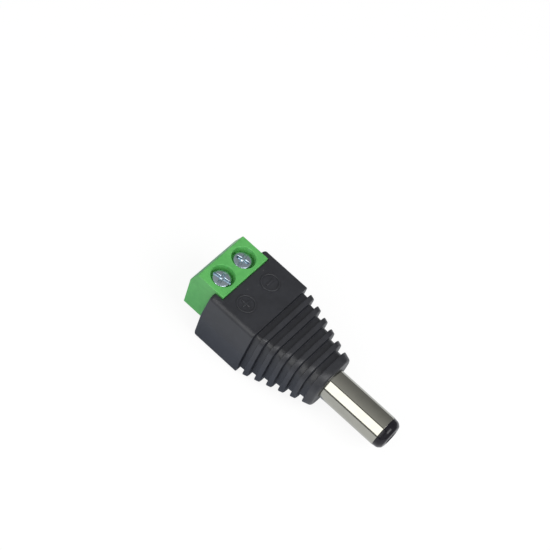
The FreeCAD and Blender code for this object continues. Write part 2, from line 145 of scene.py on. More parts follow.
class Form:
    """A closed mesh being shaped, in millimetres."""

    def __init__(self) -> None:
        """Starts with an empty mesh."""
        self.bm = bmesh.new()

    @classmethod
    def lathe(cls, outline: Sequence[Sequence[float]], axis: Vector, centre: Vector, steps: int,
              closed: bool = False) -> "Form":
        """Turns an outline about an axis.

        Args:
            outline: (along, radius) points.
            axis: Unit direction of the axis.
            centre: Point on the axis from which along is counted.
            steps: Straight parts round the axis.
            closed: Whether the outline's last point joins its first, for a piece with a bore.

        Returns:
            The turned form.
        """
        form = cls()
        outward = axis.orthogonal().normalized()
        verts = [form.bm.verts.new(centre + axis * along + outward * radius) for along, radius in outline]
        pairs = list(zip(verts, verts[1:])) + ([(verts[-1], verts[0])] if closed else [])
        edges = [form.bm.edges.new(pair) for pair in pairs]
        bmesh.ops.spin(form.bm, geom=verts + edges, cent=centre, axis=axis, dvec=(0, 0, 0),
                       angle=math.tau, steps=steps, use_merge=True, use_duplicate=False)
        return form.tidy()

    @classmethod
    def loft(cls, loops: Sequence[Sequence[Vector]]) -> "Form":
        """Joins loops of equally many points and closes both ends.

        Args:
            loops: The loops, each a list of points in the same order.

        Returns:
            The closed form.
        """
        form = cls()
        bm = form.bm
        ring = bmesh.ops.create_circle(bm, cap_ends=False, radius=1, segments=len(loops[0]))["verts"]
        first = ring
        for i, loop in enumerate(loops):
            if i:
                edges = [bm.edges.get((a, b)) for a, b in zip(ring, ring[1:] + ring[:1])]
                made = bmesh.ops.extrude_edge_only(bm, edges=edges)["geom"]
                new = {v for v in made if isinstance(v, bmesh.types.BMVert)}
                linked = [[edge.other_vert(vert) for edge in vert.link_edges] for vert in ring]
                ring = [next(vert for vert in verts if vert in new) for verts in linked]
            for vert, place in zip(ring, loop):
                vert.co = place
        for end in (first, ring):
            bmesh.ops.contextual_create(bm, geom=end)
        return form.tidy()

    @classmethod
    def block(cls, low: Sequence[float], high: Sequence[float]) -> "Form":
        """Box between two corners."""
        form = cls()
        size = Vector(high) - Vector(low)
        middle = (Vector(high) + Vector(low)) / 2
        place = Matrix.Translation(middle) @ Matrix.Diagonal(size).to_4x4()
        bmesh.ops.create_cube(form.bm, size=1, matrix=place)
        return form

    @classmethod
    def around(cls, node: str, gap: float) -> "Form":
        """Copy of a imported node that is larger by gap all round, as the bed that holds it.

        Args:
            node: Name of the node.
            gap: Growth on each face.

        Returns:
            The grown copy.
        """
        form = cls()
        form.bm.from_mesh(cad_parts[node].data)
        bmesh.ops.scale(form.bm, vec=(1 / MM,) * 3, verts=form.bm.verts)
        form.tidy()
        grown = [v.co + v.normal * v.calc_shell_factor() * gap for v in form.bm.verts]
        for vert, place in zip(form.bm.verts, grown):
            vert.co = place
        return form

    def tidy(self) -> "Form":
        """Joins double points and turns the faces outwards."""
        bmesh.ops.remove_doubles(self.bm, verts=self.bm.verts, dist=SAME_POINT)
        bmesh.ops.recalc_face_normals(self.bm, faces=self.bm.faces)
        self.bm.normal_update()
        return self

    def turn(self, degrees: float, centre: Vector) -> "Form":
        """Turns the form about the upright axis through centre."""
        turn = Matrix.Rotation(math.radians(degrees), 3, Z_AXIS)
        bmesh.ops.rotate(self.bm, cent=centre, matrix=turn, verts=self.bm.verts)
        return self

    def bevel(self, radius: float, segments: int, pick: Pick | None = None) -> "Form":
        """Rounds every edge, or those that pick says.

        Args:
            radius: Width of the rounding on each face.
            segments: Straight parts across it.
            pick: Takes an edge's middle and its unit direction, and says whether it is rounded.

        Returns:
            The same form.
        """
        edges = []
        for edge in self.bm.edges:
            a, b = (vert.co for vert in edge.verts)
            if pick is None or pick((a + b) / 2, (b - a).normalized()):
                edges.append(edge)
        bmesh.ops.bevel(self.bm, geom=edges, offset=radius, offset_type="OFFSET", segments=segments,
                        profile=0.5, affect="EDGES", clamp_overlap=True, material=-1)
        return self

    def stand(self) -> bpy.types.Object:
        """Puts the form into the scene as a bare object, in millimetres."""
        mesh = bpy.data.meshes.new("form")
        self.bm.to_mesh(mesh)
        return put("form", mesh)

    def combine(self, others: Iterable["Form"], operation: str) -> "Form":
        """Joins or cuts the form with others.

        Args:
            others: The other forms, which are used up.
            operation: UNION or DIFFERENCE.

        Returns:
            The same form.
        """
        base = self.stand()
        helpers = [other.stand() for other in others]
        for helper in helpers:
            cut = base.modifiers.new("cut", "BOOLEAN")
            cut.operation = operation
            cut.solver = "EXACT"
            cut.object = helper
        bpy.context.view_layer.update()
        evaluated = base.evaluated_get(bpy.context.evaluated_depsgraph_get())
        result = bpy.data.meshes.new_from_object(evaluated)
        self.bm.clear()
        self.bm.from_mesh(result)
        for spent in (base, *helpers):
            data = spent.data
            bpy.data.objects.remove(spent)
            bpy.data.meshes.remove(data)
        bpy.data.meshes.remove(result)
        return self

    def cut(self, *others: "Form") -> "Form":
        """Cuts the others out of the form."""
        return self.combine(others, "DIFFERENCE")

    def join(self, *others: "Form") -> "Form":
        """Joins the others to the form."""
        return self.combine(others, "UNION")

    def finish(self, name: str, body: Body, finish: "Finish", slot: str, replaces: Sequence[str] = (),
               crease: Pick | None = None) -> None:
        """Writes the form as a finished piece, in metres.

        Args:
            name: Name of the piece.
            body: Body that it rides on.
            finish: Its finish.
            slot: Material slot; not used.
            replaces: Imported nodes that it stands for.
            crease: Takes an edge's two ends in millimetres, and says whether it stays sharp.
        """
        bmesh.ops.remove_doubles(self.bm, verts=self.bm.verts, dist=2 * SAME_POINT)
        bmesh.ops.dissolve_degenerate(self.bm, edges=self.bm.edges, dist=SAME_POINT)
        bmesh.ops.recalc_face_normals(self.bm, faces=self.bm.faces)
        mesh = bpy.data.meshes.new(name)
        self.bm.to_mesh(mesh)
        mesh.shade_smooth()
        mesh.set_sharp_from_angle(angle=math.radians(SHARP_DEG))
        if crease:
            for edge in mesh.edges:
                a, b = (mesh.vertices[i].co for i in edge.vertices)
                if crease(a, b):
                    edge.use_edge_sharp = True
        mesh.transform(Matrix.Scale(MM, 4))
        self.bm.free()
        piece = put(name, mesh)
        shading = piece.modifiers.new("shading", "WEIGHTED_NORMAL")
        shading.keep_sharp = True
        mesh.materials.append(finish.material())
        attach(piece, body.value)
        if replaces:
            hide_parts(*replaces)
        LOG.info("%s rides on %s, %d faces", name, body.value, len(mesh.polygons))


class Socket:
    """Output of a shader node that takes part in arithmetic."""

    def __init__(self, graph: "Graph", output: bpy.types.NodeSocket) -> None:
        """Keeps the node tree and the output."""
        self.graph = graph
        self.output = output

    def _math(self, operation: str, a: Any, b: Any) -> "Socket":
        """Math node of two values."""
        return self.graph.node("ShaderNodeMath", {"operation": operation}, {0: a, 1: b})

    def __add__(self, other: Any) -> "Socket":
        """Sum."""
        return self._math("ADD", self, other)

    def __mul__(self, other: Any) -> "Socket":
        """Product."""
        return self._math("MULTIPLY", self, other)

    def __sub__(self, other: Any) -> "Socket":
        """Difference."""
        return self._math("SUBTRACT", self, other)

    def __rsub__(self, other: Any) -> "Socket":
        """Difference from a number."""
        return self._math("SUBTRACT", other, self)

    def __lt__(self, other: Any) -> "Socket":
        """One where this is less."""
        return self._math("LESS_THAN", self, other)

    def __or__(self, other: Any) -> "Socket":
        """The larger of two values."""
        return self._math("MAXIMUM", self, other)

    __radd__ = __add__


class Graph:
    """A node tree, of a material or of the world, that is written as expressions."""

    def __init__(self, owner: Any) -> None:
        """Empties the owner's node tree.

        Args:
            owner: A material or a world.
        """
        owner.use_nodes = True
        self.tree = owner.node_tree
        self.tree.nodes.clear()

    def node(self, kind: str, settings: dict[str, Any] | None = None,
             sockets: dict[Any, Any] | None = None, output: Any = 0) -> Socket:
        """Adds a node.

        Args:
            kind: The node's type.
            settings: Its own settings, set first.
            sockets: Values or links of its inputs, by name or number.
            output: Name or number of the output to use.

        Returns:
            The chosen output.
        """
        made = self.tree.nodes.new(kind)
        for key, value in (settings or {}).items():
            setattr(made, key, value)
        for key, value in (sockets or {}).items():
            if isinstance(value, Socket):
                self.tree.links.new(value.output, made.inputs[key])
            else:
                made.inputs[key].default_value = value
        return Socket(self, made.outputs[output] if len(made.outputs) else None)

    def place(self, *stretch: float) -> Socket:
        """Object coordinates in millimetres, stretched along the axes if three factors are given."""
        local = self.node("ShaderNodeTexCoord", output="Object")
        factor = tuple(s / MM for s in stretch or (1.0, 1.0, 1.0))
        return self.node("ShaderNodeVectorMath", {"operation": "MULTIPLY"}, {0: local, 1: factor})

    def noise(self, place: Socket, size: float, detail: float = 3.0, rough: float = 0.55) -> Socket:
        """Noise whose features are about size millimetres wide."""
        return self.node("ShaderNodeTexNoise", None,
                         {"Vector": place, "Scale": 1 / size, "Detail": detail, "Roughness": rough})

    def spots(self, place: Socket, cell: float, radius: float) -> Socket:
        """Mask of round spots of a radius, about one to each cell."""
        distance = self.node("ShaderNodeTexVoronoi", {"feature": "F1"},
                             {"Vector": place, "Scale": 1 / cell})
        return distance < radius / cell

    def spread(self, value: Socket, span: Span, onto: Span = (0.0, 1.0)) -> Socket:
        """Maps a range onto another, with soft ends."""
        return self.node("ShaderNodeMapRange", {"interpolation_type": "SMOOTHSTEP"},
                         {0: value, 1: span[0], 2: span[1], 3: onto[0], 4: onto[1]})

    def blend(self, share: Socket, first: Any, second: Any) -> Socket:
        """Mixes two colours."""
        full = [c if isinstance(c, Socket) else (*c, 1.0) for c in (first, second)]
        return self.node("ShaderNodeMix", {"data_type": "RGBA"}, {0: share, 6: full[0], 7: full[1]},
                         output=2)

    def plain(self, kind: str, colour: Colour, **sockets: float) -> Socket:
        """Shader of one plain colour."""
        return self.node("ShaderNode" + kind, None, {"Color": (*colour, 1.0), **sockets})

    def mix(self, share: Socket, first: Socket, second: Socket) -> Socket:
        """Mixes two shaders."""
        return self.node("ShaderNodeMixShader", None, {0: share, 1: first, 2: second})

    def axis(self, place: Socket, name: str) -> Socket:
        """One coordinate of a place."""
        return self.node("ShaderNodeSeparateXYZ", None, {0: place}, output=name)

    def bump(self, height: Socket) -> Socket:
        """Normal of a relief whose height is in millimetres."""
        return self.node("ShaderNodeBump", None, {"Strength": 1.0, "Distance": MM, "Height": height})

    def surface(self, shader: Socket, kind: str = "ShaderNodeOutputMaterial") -> None:
        """Connects a shader to the output."""
        self.node(kind, None, {"Surface": shader})


class Finish:
    """A finish, whose material is made once."""

    name: str

    def dress(self, graph: Graph) -> Socket:
        """Builds the shader in a material's node tree."""
        raise NotImplementedError

    def material(self) -> bpy.types.Material:
        """Material of this finish.

        Returns:
            The material, made at the first call.
        """
        made = bpy.data.materials.get(self.name)
        if made is None:
            made = bpy.data.materials.new(self.name)
            graph = Graph(made)
            graph.surface(self.dress(graph))
        return made


@dataclass(frozen=True)
class MouldedPlastic(Finish):
    """Moulded plastic: uneven tone, a fine skin and a few pale specks of dust."""

    name: str
    colour: Colour
    deep: Colour
    roughness: float = 0.42
    specular: float = 0.5
    ior: float = 1.47
    swell_size: float = 3.2
    swell_height: float = 0.006
    cloud_size: float = 0.9
    swell_share: float = 0.6
    cloud_share: float = 0.4
    tone_span: Span = (0.36, 0.64)
    skin_size: float = 0.16
    skin_height: float = 0.004
    speck_radius: float = 0.07
    speck_cell: float = 1.3
    speck_height: float = 0.004
    speck_colour: Colour = (0.16, 0.16, 0.15)
    speck_share: float = 0.5
    patch_size: float = 2.1
    patch_span: Span = (0.5, 0.62)
    rough_drop: float = 0.1
    rough_cloud: float = 0.14
    rough_skin: float = 0.08
    rough_speck: float = 0.2

    def dress(self, graph: Graph) -> Socket:
        """Builds the plastic's shader."""
        place = graph.place()
        swell = graph.noise(place, self.swell_size)
        cloud = graph.noise(place, self.cloud_size, detail=4.0, rough=0.6)
        skin = graph.noise(place, self.skin_size, detail=2.0)
        tone = graph.spread(swell * self.swell_share + cloud * self.cloud_share, self.tone_span)
        colour = graph.blend(tone, self.deep, self.colour)
        patches = graph.spread(graph.noise(place, self.patch_size, detail=1.0), self.patch_span)
        specks = graph.spots(place, self.speck_cell, self.speck_radius) * patches
        colour = graph.blend(specks * self.speck_share, colour, self.speck_colour)
        rough = (self.roughness - self.rough_drop + cloud * self.rough_cloud + skin * self.rough_skin
                 + specks * self.rough_speck)
        relief = skin * self.skin_height + swell * self.swell_height + specks * self.speck_height
        return graph.node("ShaderNodeBsdfPrincipled", None, {
            "Base Color": colour, "Roughness": rough, "Normal": graph.bump(relief),
            "IOR": self.ior, "Specular IOR Level": self.specular})


@dataclass(frozen=True)
class PlatedMetal(Finish):
    """Plated metal: faint turning or drawing marks, smudges and tiny pits."""

    name: str
    colour: Colour
    dull: Colour
    roughness: float = 0.1
    smudge: float = 0.1
    mark_stretch: Colour = (30.0, 1.0, 1.0)
    mark_height: float = 0.00025
    mark_rough: float = 0.03
    wave_size: float = 0.8
    wave_height: float = 0.0
    cloud_size: float = 1.6
    stain_span: Span = (0.42, 0.72)
    stain_share: float = 0.55
    pit_cell: float = 1.1
    pit_radius: float = 0.05
    pit_span: Span = (0.52, 0.6)
    pit_share: float = 0.4
    pit_rough: float = 0.2
    pit_deep: float = 0.002

    def dress(self, graph: Graph) -> Socket:
        """Builds the metal's shader."""
        place = graph.place()
        cloud = graph.noise(place, self.cloud_size, detail=4.0)
        marks = graph.noise(graph.place(*self.mark_stretch), size=1.0, rough=0.7)
        pits = graph.spots(place, self.pit_cell, self.pit_radius) * graph.spread(cloud, self.pit_span)
        stain = graph.spread(cloud, self.stain_span)
        colour = graph.blend(stain * self.stain_share + pits * self.pit_share, self.colour, self.dull)
        rough = self.roughness + stain * self.smudge + marks * self.mark_rough + pits * self.pit_rough
        wave = graph.noise(place, self.wave_size, detail=2.0)
        relief = marks * self.mark_height + wave * self.wave_height - pits * self.pit_deep
        return graph.node("ShaderNodeBsdfPrincipled", None, {
            "Base Color": colour, "Metallic": 1.0, "Roughness": rough, "Normal": graph.bump(relief)})


BLACK = MouldedPlastic("black_pvc", (0.022, 0.0235, 0.030), (0.015, 0.016, 0.021), roughness=0.42,
                       specular=0.72)
GREEN = MouldedPlastic("green_nylon", (0.13, 0.51, 0.13), (0.105, 0.45, 0.11), roughness=0.33,
                       speck_radius=0.04, speck_cell=2.2, speck_colour=(0.2, 0.55, 0.2))
TIP_BLACK = MouldedPlastic("tip_black", (0.010, 0.009, 0.014), (0.007, 0.006, 0.010), roughness=0.16,
                           specular=0.4, skin_height=0.0012, speck_radius=0.03)
BUSH_PALE = MouldedPlastic("bush_cream", (0.70, 0.66, 0.54), (0.62, 0.57, 0.45), roughness=0.5,
                           speck_colour=(0.5, 0.45, 0.35))
NICKEL = PlatedMetal("barrel_nickel", (0.43, 0.425, 0.375), (0.375, 0.375, 0.33), roughness=0.05,
                     smudge=0.05)
CONTACT = PlatedMetal("contact_nickel", (0.70, 0.66, 0.55), (0.60, 0.55, 0.44), roughness=0.15)
ZINC = PlatedMetal("screw_zinc", (0.54, 0.65, 0.73), (0.31, 0.40, 0.48), roughness=0.18, smudge=0.12,
                   mark_stretch=(5.0, 5.0, 5.0), mark_height=0.003, wave_height=0.012)
CAGE_NICKEL = PlatedMetal("cage_nickel", (0.66, 0.65, 0.60), (0.52, 0.51, 0.46), roughness=0.2,
                          mark_stretch=(4.0, 4.0, 18.0), mark_height=0.001)
TIN = PlatedMetal("tin_plate", (0.70, 0.70, 0.67), (0.58, 0.58, 0.55), roughness=0.24,
                  mark_stretch=(6.0, 1.0, 6.0), mark_height=0.0015)
COPPER = PlatedMetal("tinned_copper", (0.72, 0.69, 0.62), (0.66, 0.52, 0.40), roughness=0.26,
                     mark_stretch=(1.0, 14.0, 14.0), mark_height=0.001)
SOLDER = PlatedMetal("soft_solder", (0.66, 0.67, 0.69), (0.52, 0.53, 0.55), roughness=0.28, smudge=0.2,
                     mark_stretch=(3.0, 3.0, 3.0), mark_height=0.004, wave_height=0.03)


@dataclass(frozen=True)
class SleeveSeat:
    """The sleeve's end in the nose, which the housing is moulded round."""

    outer_r: float = 2.75
    bush_x: float = -5.4
    bush_r: float = 2.9
    spigot_x: float = -4.6
    flange_rear: float = -3.6
    flange_front: float = -2.6
    flange_r: float = 3.6
    shoulder_x: float = -0.15
    shoulder_r: float = 2.95


@dataclass
class Housing:
    """The moulded housing: a drafted box that narrows to a nearly round nose with six grooves."""

    box_w: float = 14.1
    box_h: float = 11.89
    box_rear: float = -22.05
    box_corner: float = 0.85
    nose_len: float = 12.65
    nose_w: float = 8.5
    nose_h: float = 8.6
    nose_corner: float = 3.2
    lean_deg: float = 2.0
    groove_count: int = 6
    groove_pitch: float = 2.0
    groove_depth: float = 0.85
    groove_front_depth: float = 0.64
    groove_mouth: float = 1.15
    groove_rear_run: float = 0.1
    groove_front_run: float = 0.05
    front_lip_r: float = 0.15
    rear_lip_r: float = 0.1
    root_r: float = 0.08
    front_r: float = 0.32
    rear_r: float = 0.7
    rear_run: float = 1.0
    pocket_x: float = -20.15
    pocket_half: float = 5.55
    pocket_z: float = -2.415
    pocket_flare: float = 0.12
    bed_gap: float = 0.03
    mouth_x: float = -0.1
    mouth_r: float = 2.87
    seat: SleeveSeat = SleeveSeat()
    corner_steps: int = 12
    flat_steps: int = 3

    def section(self, x: float, inset: float) -> list[Vector]:
        """Closed section at a station, from the parting line on the +Y side, anticlockwise.

        Args:
            x: Place of the station.
            inset: How far the section is drawn in.

        Returns:
            The section's points.
        """
        share = min(max((x + self.nose_len) / self.nose_len, 0.0), 1.0)
        w = (self.box_w + share * (self.nose_w - self.box_w)) / 2 - inset
        h = (self.box_h + share * (self.nose_h - self.box_h)) / 2 - inset
        r = self.box_corner + share * (self.nose_corner - self.box_corner) - inset / 2
        lean = math.radians(self.lean_deg) * (1 - share)
        centre_y = w - (r + (h - r) * math.sin(lean)) / math.cos(lean)
        centre_z = h - r
        arc = []
        for k in range(self.corner_steps + 1):
            angle = lean + (math.pi / 2 - lean) * k / self.corner_steps
            arc.append(Vector((centre_y + r * math.cos(angle), centre_z + r * math.sin(angle))))
        parts = [k / self.flat_steps for k in range(self.flat_steps)]
        side = [Vector((w, 0)).lerp(arc[0], part) for part in parts]
        top = [arc[-1].lerp(Vector((0, h)), 1 - part) for part in reversed(parts)]
        quarter = side + arc + top
        loop = [(y, z) for y, z in quarter]
        loop += [(-y, z) for y, z in reversed(quarter[:-1])]
        loop += [(-y, -z) for y, z in quarter[1:]]
        loop += [(y, -z) for y, z in reversed(quarter[1:-1])]
        back = max(0.0, self.rear_run - (x - self.box_rear)) * math.tan(math.radians(self.lean_deg))
        return [Vector((x + abs(z) * back, y, z)) for y, z in loop]

    def profile(self) -> list[Vector]:
        """(x, inset) stations from the back to the nose's end, with rounded lips and roots."""
        corners: list[Corner] = [(self.box_rear, self.box_h / 4, 0.0), (self.box_rear, 0.0, self.rear_r)]
        for i in range(self.groove_count):
            rear = -self.nose_len + i * self.groove_pitch
            front = rear + self.groove_mouth
            corners += [
                (rear, 0.0, self.rear_lip_r),
                (rear + self.groove_rear_run, self.groove_depth, self.root_r),
                (front - self.groove_front_run, self.groove_front_depth, self.root_r),
                (front, 0.0, self.front_lip_r),
            ]
        corners += [(0.0, 0.0, self.front_r), (0.0, self.nose_h / 4, 0.0)]
        return rounded(corners, steps=5)[1:-1]

    def pocket(self) -> Form:
        """Cutter of the notch that holds the terminal block, with a flared rim."""
        top = self.box_h / 2
        levels = [(self.pocket_z, 0.0), (top - self.pocket_flare, 0.0), (top, self.pocket_flare),
                  (top + PAST, self.pocket_flare)]
        far = 2 * self.box_rear
        loops = []
        for z, flare in levels:
            x, half = self.pocket_x + flare, self.pocket_half + flare
            plan = [(far, -half), (x, -half), (x, half), (far, half)]
            loops.append([Vector((*point, z)) for point in plan])
        return Form.loft(loops)

    def plug_bed(self) -> Form:
        """Cutter of the bed that the barrel, its flange and the bush are moulded into."""
        gap, seat = self.bed_gap, self.seat
        stations = [seat.bush_x - gap, seat.spigot_x + gap, seat.flange_rear - gap,
                    seat.flange_front + gap, seat.shoulder_x + gap, self.mouth_x]
        radii = (seat.bush_r, seat.outer_r, seat.flange_r, seat.shoulder_r, seat.outer_r)
        outline = [(stations[0], 0.0)]
        for rear, front, radius in zip(stations, stations[1:], radii):
            outline += [(rear, radius + gap), (front, radius + gap)]
        outline += [(0.0, self.mouth_r + gap), (PAST, self.mouth_r + gap), (PAST, 0.0)]
        return Form.lathe(outline, X_AXIS, Vector(), steps=96)

    def parting(self, a: Vector, b: Vector) -> bool:
        """Picks the edges of the parting line, outside the grooves."""
        return max(abs(a.z), abs(b.z)) < LEVEL and min(abs(a.y), abs(b.y)) > self.nose_w / 2

    def build(self) -> None:
        """Makes the housing."""
        body = Form.loft([self.section(x, inset) for x, inset in self.profile()])
        # The parting line runs on across the back face
        rear = min(body.bm.faces, key=lambda face: face.calc_center_median().x)
        seam = sorted(rear.verts, key=lambda vert: (abs(vert.co.z), -abs(vert.co.y)))[:2]
        bmesh.ops.connect_verts(body.bm, verts=seam)
        inner = ["centre_contact", "sleeve_tag"]
        for pole in Pole:
            inner += [part + "_" + pole.label
                      for part in ("contact_bar", "link_wire", "pin_solder", "tag_solder")]
        beds = [Form.around(node, self.bed_gap) for node in inner]
        body.cut(self.pocket(), self.plug_bed(), *beds)
        body.finish("housing_moulding", Body.PLUG, BLACK, "black_moulding", ["housing"], self.parting)


@dataclass
class PoleMarks:
    """Raised rings with a plus and a minus sign, on the housing's top."""

    x: float = -17.2
    y: dict[Pole, float] = field(default_factory=lambda: {Pole.PLUS: -3.3, Pole.MINUS: 2.6})
    top: float = 5.945
    ring_r: float = 1.5
    ring_w: float = 0.34
    ring_round: float = 0.14
    rise: float = 0.16
    bar_len: float = 1.75
    bar_w: float = 0.4
    bar_round: float = 0.13
    sunk: float = 0.06

    def ring(self, centre: Vector) -> Form:
        """Low round-backed ring about a mark's centre."""
        low, high, round_r = -self.sunk, self.rise, self.ring_round
        inner, outer = self.ring_r - self.ring_w / 2, self.ring_r + self.ring_w / 2
        corners = [(low, inner, 0.0), (high, inner, round_r), (high, outer, round_r), (low, outer, 0.0)]
        outline = rounded(corners, steps=3, closed=True)
        return Form.lathe(outline, Z_AXIS, centre, steps=72, closed=True)

    def bar(self, centre: Vector, along: Vector) -> Form:
        """Low bar of a sign."""
        across = Z_AXIS.cross(along)
        half = along * self.bar_len / 2 + across * self.bar_w / 2
        reach = Vector((abs(half.x), abs(half.y), 0))
        bar = Form.block(centre - reach - Z_AXIS * self.sunk, centre + reach + Z_AXIS * self.rise)
        return bar.bevel(self.bar_round, segments=4, pick=lambda middle, direction: middle.z > self.top)

    def build(self) -> None:
        """Makes both marks."""
        for pole in Pole:
            centre = Vector((self.x, self.y[pole], self.top))
            mark = self.bar(centre, Y_AXIS)
            if pole is Pole.PLUS:
                mark.join(self.bar(centre, X_AXIS))
            mark.join(self.ring(centre))
            mark.finish("pole_mark_" + pole.label, Body.PLUG, BLACK, "black_moulding")


@dataclass
class TerminalBlock:
    """The green block: screw wells above, chambers open below and a wire entry behind each."""

    front: float = -20.2
    top_rear: float = -25.6
    rear: float = -26.5
    bottom_rear: float = -26.05
    top: float = 6.295
    slope_foot: float = 3.735
    bottom: float = -2.415
    width: float = 11.0
    edge_r: float = 0.13
    screw_x: float = -22.9
    well_r: float = 2.0
    well_flare: float = 0.09
    round_r: float = 0.12
    ledge_top: float = 4.595
    ledge_bottom: float = 3.895
    hole_r: float = 1.15
    hole_round: float = 0.06
    chamber_x: Span = (-24.6, -20.65)
    chamber_half: float = 1.95
    entry_r: float = 1.2
    entry_z: float = -0.445
    entry_round: float = 0.3
    funnel_r: float = 1.7
    funnel_x: float = -26.194
    funnel_deep: float = 0.6
    funnel_flare: float = 0.12

    def well(self, y: float) -> Form:
        """Cutter of a well, its ledge hole and the rounded rim."""
        low, high, rim_r = self.ledge_bottom - PAST, self.top + PAST, self.well_r + self.well_flare
        outline = rounded([
            (low, 0.0, 0.0), (low, self.hole_r, 0.0), (self.ledge_top, self.hole_r, self.hole_round),
            (self.ledge_top, self.well_r, self.round_r),
            (self.top - self.well_flare, self.well_r, self.round_r), (self.top, rim_r, 0.0),
            (high, rim_r, 0.0), (high, 0.0, 0.0)])
        return Form.lathe(outline, Z_AXIS, Vector((self.screw_x, y, 0)), steps=72)

    def chamber(self, y: float) -> Form:
        """Cutter of a cage's chamber, with rounded upright corners."""
        box = Form.block((self.chamber_x[0], y - self.chamber_half, self.bottom - PAST),
                         (self.chamber_x[1], y + self.chamber_half, self.ledge_bottom))
        return box.bevel(self.round_r, segments=3, pick=runs_along(Z_AXIS))

    def entry(self, y: float) -> Form:
        """Cutter of a wire entry with its funnel."""
        inside, outside, flare = self.chamber_x[0] + PAST / 2, self.funnel_x - PAST, self.funnel_flare
        mouth_r = self.funnel_r + 2 * flare
        outline = rounded([
            (inside, 0.0, 0.0), (inside, self.entry_r, 0.0),
            (self.funnel_x + self.funnel_deep, self.entry_r, self.entry_round),
            (self.funnel_x, self.funnel_r, self.round_r), (self.funnel_x - flare, mouth_r, 0.0),
            (outside, mouth_r, 0.0), (outside, 0.0, 0.0)])
        return Form.lathe(outline, X_AXIS, Vector((0, y, self.entry_z)), steps=64)

    def build(self) -> None:
        """Makes the block."""
        outline = [(self.front, self.bottom), (self.front, self.top), (self.top_rear, self.top),
                   (self.rear, self.slope_foot), (self.bottom_rear, self.bottom)]
        half = self.width / 2
        body = Form.loft([[Vector((x, y, z)) for x, z in outline] for y in (-half, half)])
        body.bevel(self.edge_r, segments=3)
        body.cut(*(make(pole.y) for pole in Pole for make in (self.well, self.chamber, self.entry)))
        body.finish("terminal_block", Body.PLUG, GREEN, "green_moulding", ["terminal_body"])


